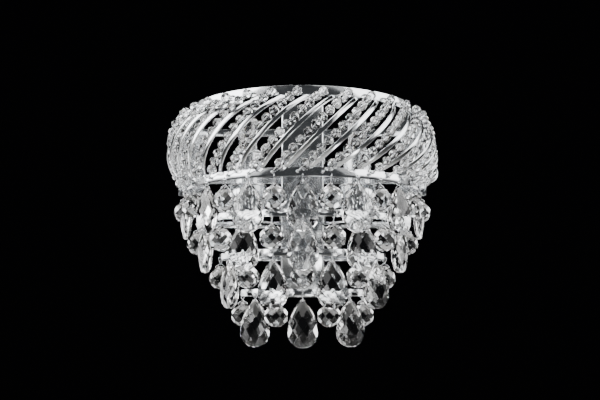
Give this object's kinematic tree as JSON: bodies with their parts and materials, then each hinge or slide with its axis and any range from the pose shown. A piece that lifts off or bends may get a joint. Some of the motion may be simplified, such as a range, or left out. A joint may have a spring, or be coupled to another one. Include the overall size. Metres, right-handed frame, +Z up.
{
  "type": "crystal wall sconce",
  "caption": "Half-round wall sconce: a swirl cage of flat ribs and bead strands over stepped rings of hanging crystal drops and balls, with lamps inside",
  "frame": {"origin": "on the wall, half way between the two wall screws", "axes": "+X to the viewer's right, +Y into the wall, +Z up"},
  "size_m": [0.298, 0.15, 0.2607],
  "materials": {
    "chrome": "mirror polished plating",
    "crystal": "clear cut crystal with polished facets",
    "bulb_glass": "clear tube",
    "bracket_steel": "zinc plated sheet",
    "terminal_plastic": "moulded"
  },
  "bodies": {
    "lamp_frame": {"back_frame": "chrome", "beads": "crystal", "cage_ribs": "chrome", "centre_column": "chrome", "lamp_arms": "chrome", "lamp_cups": "chrome", "lampholders": "chrome", "lower_rim": "chrome", "side_screws": "chrome", "strand_wires": "chrome", "terminal_block": "terminal_plastic", "tier_ring_2": "chrome", "tier_ring_3": "chrome", "tier_ring_4": "chrome", "top_rim": "chrome", "wall_bracket": "bracket_steel"},
    "pendant_1_01": {"tier_1_ball_01": "crystal"},
    "pendant_1_03": {"tier_1_ball_03": "crystal"},
    "pendant_1_05": {"tier_1_ball_05": "crystal"},
    "pendant_1_07": {"tier_1_ball_07": "crystal"},
    "pendant_1_09": {"tier_1_ball_09": "crystal"},
    "pendant_1_11": {"tier_1_ball_11": "crystal"},
    "pendant_1_13": {"tier_1_ball_13": "crystal"},
    "pendant_1_15": {"tier_1_ball_15": "crystal"},
    "pendant_1_02": {"tier_1_drop_02": "crystal"},
    "pendant_1_04": {"tier_1_drop_04": "crystal"},
    "pendant_1_06": {"tier_1_drop_06": "crystal"},
    "pendant_1_08": {"tier_1_drop_08": "crystal"},
    "pendant_1_10": {"tier_1_drop_10": "crystal"},
    "pendant_1_12": {"tier_1_drop_12": "crystal"},
    "pendant_1_14": {"tier_1_drop_14": "crystal"},
    "pendant_2_01": {"tier_2_ball_01": "crystal"},
    "pendant_2_03": {"tier_2_ball_03": "crystal"},
    "pendant_2_05": {"tier_2_ball_05": "crystal"},
    "pendant_2_07": {"tier_2_ball_07": "crystal"},
    "pendant_2_09": {"tier_2_ball_09": "crystal"},
    "pendant_2_11": {"tier_2_ball_11": "crystal"},
    "pendant_2_02": {"tier_2_drop_02": "crystal"},
    "pendant_2_04": {"tier_2_drop_04": "crystal"},
    "pendant_2_06": {"tier_2_drop_06": "crystal"},
    "pendant_2_08": {"tier_2_drop_08": "crystal"},
    "pendant_2_10": {"tier_2_drop_10": "crystal"},
    "pendant_3_01": {"tier_3_ball_01": "crystal"},
    "pendant_3_03": {"tier_3_ball_03": "crystal"},
    "pendant_3_05": {"tier_3_ball_05": "crystal"},
    "pendant_3_07": {"tier_3_ball_07": "crystal"},
    "pendant_3_09": {"tier_3_ball_09": "crystal"},
    "pendant_3_02": {"tier_3_drop_02": "crystal"},
    "pendant_3_04": {"tier_3_drop_04": "crystal"},
    "pendant_3_06": {"tier_3_drop_06": "crystal"},
    "pendant_3_08": {"tier_3_drop_08": "crystal"},
    "pendant_4_01": {"tier_4_ball_01": "crystal"},
    "pendant_4_03": {"tier_4_ball_03": "crystal"},
    "pendant_4_05": {"tier_4_ball_05": "crystal"},
    "pendant_4_07": {"tier_4_ball_07": "crystal"},
    "pendant_4_02": {"tier_4_drop_02": "crystal"},
    "pendant_4_04": {"tier_4_drop_04": "crystal"},
    "pendant_4_06": {"tier_4_drop_06": "crystal"},
    "lamp_left": {"bulb_left": "bulb_glass"},
    "lamp_right": {"bulb_right": "bulb_glass"}
  },
  "joints": [
    {"name": "swing_1_01", "type": "hinge", "parent": "lamp_frame", "child": "pendant_1_01", "pos_m": [-0.12854, -0.01351, -0.0354], "axis": [-0.1045, 0.9945, 0], "range_deg": [-10, 15]},
    {"name": "swing_1_03", "type": "hinge", "parent": "lamp_frame", "child": "pendant_1_03", "pos_m": [-0.11193, -0.06463, -0.0354], "axis": [-0.5, 0.866, 0], "range_deg": [-10, 15]},
    {"name": "swing_1_05", "type": "hinge", "parent": "lamp_frame", "child": "pendant_1_05", "pos_m": [-0.07597, -0.10457, -0.0354], "axis": [-0.809, 0.5878, 0], "range_deg": [-10, 15]},
    {"name": "swing_1_07", "type": "hinge", "parent": "lamp_frame", "child": "pendant_1_07", "pos_m": [-0.02687, -0.12643, -0.0354], "axis": [-0.9781, 0.2079, 0], "range_deg": [-10, 15]},
    {"name": "swing_1_09", "type": "hinge", "parent": "lamp_frame", "child": "pendant_1_09", "pos_m": [0.02687, -0.12643, -0.0354], "axis": [-0.9781, -0.2079, 0], "range_deg": [-10, 15]},
    {"name": "swing_1_11", "type": "hinge", "parent": "lamp_frame", "child": "pendant_1_11", "pos_m": [0.07597, -0.10457, -0.0354], "axis": [-0.809, -0.5878, 0], "range_deg": [-10, 15]},
    {"name": "swing_1_13", "type": "hinge", "parent": "lamp_frame", "child": "pendant_1_13", "pos_m": [0.11193, -0.06463, -0.0354], "axis": [-0.5, -0.866, 0], "range_deg": [-10, 15]},
    {"name": "swing_1_15", "type": "hinge", "parent": "lamp_frame", "child": "pendant_1_15", "pos_m": [0.12854, -0.01351, -0.0354], "axis": [-0.1045, -0.9945, 0], "range_deg": [-10, 15]},
    {"name": "swing_1_02", "type": "hinge", "parent": "lamp_frame", "child": "pendant_1_02", "pos_m": [-0.12292, -0.03994, -0.0354], "axis": [-0.309, 0.9511, 0], "range_deg": [0, 12]},
    {"name": "swing_1_04", "type": "hinge", "parent": "lamp_frame", "child": "pendant_1_04", "pos_m": [-0.09605, -0.08649, -0.0354], "axis": [-0.6691, 0.7431, 0], "range_deg": [0, 15]},
    {"name": "swing_1_06", "type": "hinge", "parent": "lamp_frame", "child": "pendant_1_06", "pos_m": [-0.05257, -0.11808, -0.0354], "axis": [-0.9135, 0.4067, 0], "range_deg": [-6, 15]},
    {"name": "swing_1_08", "type": "hinge", "parent": "lamp_frame", "child": "pendant_1_08", "pos_m": [0, -0.12925, -0.0354], "axis": [-1, 0, 0], "range_deg": [-3, 15]},
    {"name": "swing_1_10", "type": "hinge", "parent": "lamp_frame", "child": "pendant_1_10", "pos_m": [0.05257, -0.11808, -0.0354], "axis": [-0.9135, -0.4067, 0], "range_deg": [-6, 15]},
    {"name": "swing_1_12", "type": "hinge", "parent": "lamp_frame", "child": "pendant_1_12", "pos_m": [0.09605, -0.08649, -0.0354], "axis": [-0.6691, -0.7431, 0], "range_deg": [0, 15]},
    {"name": "swing_1_14", "type": "hinge", "parent": "lamp_frame", "child": "pendant_1_14", "pos_m": [0.12292, -0.03994, -0.0354], "axis": [-0.309, -0.9511, 0], "range_deg": [0, 12]},
    {"name": "swing_2_01", "type": "hinge", "parent": "lamp_frame", "child": "pendant_2_01", "pos_m": [-0.11147, -0.02987, -0.0716], "axis": [-0.2588, 0.9659, 0], "range_deg": [-12, 0]},
    {"name": "swing_2_03", "type": "hinge", "parent": "lamp_frame", "child": "pendant_2_03", "pos_m": [-0.0816, -0.0816, -0.0716], "axis": [-0.7071, 0.7071, 0], "range_deg": [-12, 0]},
    {"name": "swing_2_05", "type": "hinge", "parent": "lamp_frame", "child": "pendant_2_05", "pos_m": [-0.02987, -0.11147, -0.0716], "axis": [-0.9659, 0.2588, 0], "range_deg": [-12, 18]},
    {"name": "swing_2_07", "type": "hinge", "parent": "lamp_frame", "child": "pendant_2_07", "pos_m": [0.02987, -0.11147, -0.0716], "axis": [-0.9659, -0.2588, 0], "range_deg": [-12, 18]},
    {"name": "swing_2_09", "type": "hinge", "parent": "lamp_frame", "child": "pendant_2_09", "pos_m": [0.0816, -0.0816, -0.0716], "axis": [-0.7071, -0.7071, 0], "range_deg": [-12, 0]},
    {"name": "swing_2_11", "type": "hinge", "parent": "lamp_frame", "child": "pendant_2_11", "pos_m": [0.11147, -0.02987, -0.0716], "axis": [-0.2588, -0.9659, 0], "range_deg": [-12, 0]},
    {"name": "swing_2_02", "type": "hinge", "parent": "lamp_frame", "child": "pendant_2_02", "pos_m": [-0.09994, -0.0577, -0.0716], "axis": [-0.5, 0.866, 0], "range_deg": [-12, 20]},
    {"name": "swing_2_04", "type": "hinge", "parent": "lamp_frame", "child": "pendant_2_04", "pos_m": [-0.0577, -0.09994, -0.0716], "axis": [-0.866, 0.5, 0], "range_deg": [-12, 14]},
    {"name": "swing_2_06", "type": "hinge", "parent": "lamp_frame", "child": "pendant_2_06", "pos_m": [0, -0.1154, -0.0716], "axis": [-1, 0, 0], "range_deg": [-12, 8]},
    {"name": "swing_2_08", "type": "hinge", "parent": "lamp_frame", "child": "pendant_2_08", "pos_m": [0.0577, -0.09994, -0.0716], "axis": [-0.866, -0.5, 0], "range_deg": [-12, 14]},
    {"name": "swing_2_10", "type": "hinge", "parent": "lamp_frame", "child": "pendant_2_10", "pos_m": [0.09994, -0.0577, -0.0716], "axis": [-0.5, -0.866, 0], "range_deg": [-12, 20]},
    {"name": "swing_3_01", "type": "hinge", "parent": "lamp_frame", "child": "pendant_3_01", "pos_m": [-0.08788, -0.02322, -0.108], "axis": [-0.2554, 0.9668, 0], "range_deg": [-12, 20]},
    {"name": "swing_3_03", "type": "hinge", "parent": "lamp_frame", "child": "pendant_3_03", "pos_m": [-0.05546, -0.07202, -0.108], "axis": [-0.7923, 0.6101, 0], "range_deg": [-12, 20]},
    {"name": "swing_3_05", "type": "hinge", "parent": "lamp_frame", "child": "pendant_3_05", "pos_m": [0, -0.0909, -0.108], "axis": [-1, 0, 0], "range_deg": [-12, 20]},
    {"name": "swing_3_07", "type": "hinge", "parent": "lamp_frame", "child": "pendant_3_07", "pos_m": [0.05546, -0.07202, -0.108], "axis": [-0.7923, -0.6101, 0], "range_deg": [-12, 20]},
    {"name": "swing_3_09", "type": "hinge", "parent": "lamp_frame", "child": "pendant_3_09", "pos_m": [0.08788, -0.02322, -0.108], "axis": [-0.2554, -0.9668, 0], "range_deg": [-12, 20]},
    {"name": "swing_3_02", "type": "hinge", "parent": "lamp_frame", "child": "pendant_3_02", "pos_m": [-0.07571, -0.0503, -0.108], "axis": [-0.5534, 0.8329, 0], "range_deg": [-12, 20]},
    {"name": "swing_3_04", "type": "hinge", "parent": "lamp_frame", "child": "pendant_3_04", "pos_m": [-0.02929, -0.08605, -0.108], "axis": [-0.9466, 0.3223, 0], "range_deg": [-12, 20]},
    {"name": "swing_3_06", "type": "hinge", "parent": "lamp_frame", "child": "pendant_3_06", "pos_m": [0.02929, -0.08605, -0.108], "axis": [-0.9466, -0.3223, 0], "range_deg": [-12, 20]},
    {"name": "swing_3_08", "type": "hinge", "parent": "lamp_frame", "child": "pendant_3_08", "pos_m": [0.07571, -0.0503, -0.108], "axis": [-0.5534, -0.8329, 0], "range_deg": [-12, 20]},
    {"name": "swing_4_01", "type": "hinge", "parent": "lamp_frame", "child": "pendant_4_01", "pos_m": [-0.06373, -0.02485, -0.147], "axis": [-0.3633, 0.9317, 0], "range_deg": [-12, 20]},
    {"name": "swing_4_03", "type": "hinge", "parent": "lamp_frame", "child": "pendant_4_03", "pos_m": [-0.02662, -0.06301, -0.147], "axis": [-0.9212, 0.3891, 0], "range_deg": [-12, 20]},
    {"name": "swing_4_05", "type": "hinge", "parent": "lamp_frame", "child": "pendant_4_05", "pos_m": [0.02662, -0.06301, -0.147], "axis": [-0.9212, -0.3891, 0], "range_deg": [-12, 20]},
    {"name": "swing_4_07", "type": "hinge", "parent": "lamp_frame", "child": "pendant_4_07", "pos_m": [0.06373, -0.02485, -0.147], "axis": [-0.3633, -0.9317, 0], "range_deg": [-12, 20]},
    {"name": "swing_4_02", "type": "hinge", "parent": "lamp_frame", "child": "pendant_4_02", "pos_m": [-0.04904, -0.04769, -0.147], "axis": [-0.6972, 0.7169, 0], "range_deg": [-12, 20]},
    {"name": "swing_4_04", "type": "hinge", "parent": "lamp_frame", "child": "pendant_4_04", "pos_m": [0, -0.0684, -0.147], "axis": [-1, 0, 0], "range_deg": [-12, 20]},
    {"name": "swing_4_06", "type": "hinge", "parent": "lamp_frame", "child": "pendant_4_06", "pos_m": [0.04904, -0.04769, -0.147], "axis": [-0.6972, -0.7169, 0], "range_deg": [-12, 20]},
    {"name": "pull_left", "type": "slide", "parent": "lamp_frame", "child": "lamp_left", "axis": [0, 0, 1], "range_m": [0, 0.08]},
    {"name": "pull_right", "type": "slide", "parent": "lamp_frame", "child": "lamp_right", "axis": [0, 0, 1], "range_m": [0, 0.08]}
  ]
}
